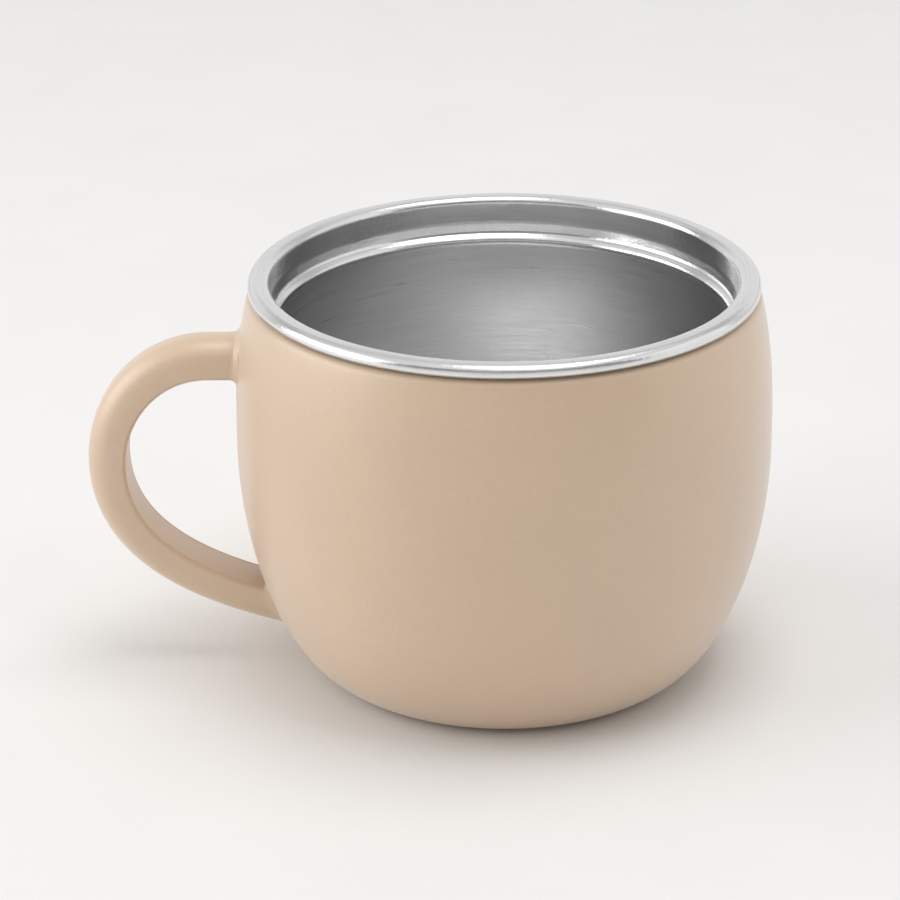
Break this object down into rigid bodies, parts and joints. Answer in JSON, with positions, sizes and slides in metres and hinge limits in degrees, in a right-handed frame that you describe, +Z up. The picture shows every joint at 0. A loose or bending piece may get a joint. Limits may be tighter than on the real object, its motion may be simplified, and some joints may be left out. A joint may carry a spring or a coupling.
{
  "type": "training cup",
  "caption": "Double-walled steel training cup with a rounded sand-coloured shell, bare rolled rim, inner lid seat, flat base and one loop handle.",
  "frame": {"origin": "centre of the foot pad's underside, on the cup's axis, where the cup stands on the table", "axes": "+Z up along the cup's axis, -X towards the handle, +Y away from the pictured side"},
  "size_m": [0.1076, 0.084, 0.0648],
  "materials": {
    "sand_coat": "matte powder coat",
    "liner_steel": "fine satin, polished at the rim",
    "base_steel": "satin",
    "pad_silicone": "matte",
    "seal_glass": "dark fired glass",
    "getter_metal": "pressed powder"
  },
  "bodies": {
    "root": {"outer_shell": "sand_coat", "inner_liner": "liner_steel", "base_pan": "base_steel", "base_cap": "base_steel", "foot_pad": "pad_silicone", "exhaust_seal": "seal_glass", "getter_pellet": "getter_metal", "getter_clip": "base_steel", "handle_channel": "sand_coat", "handle_strip": "sand_coat"}
  },
  "joints": []
}
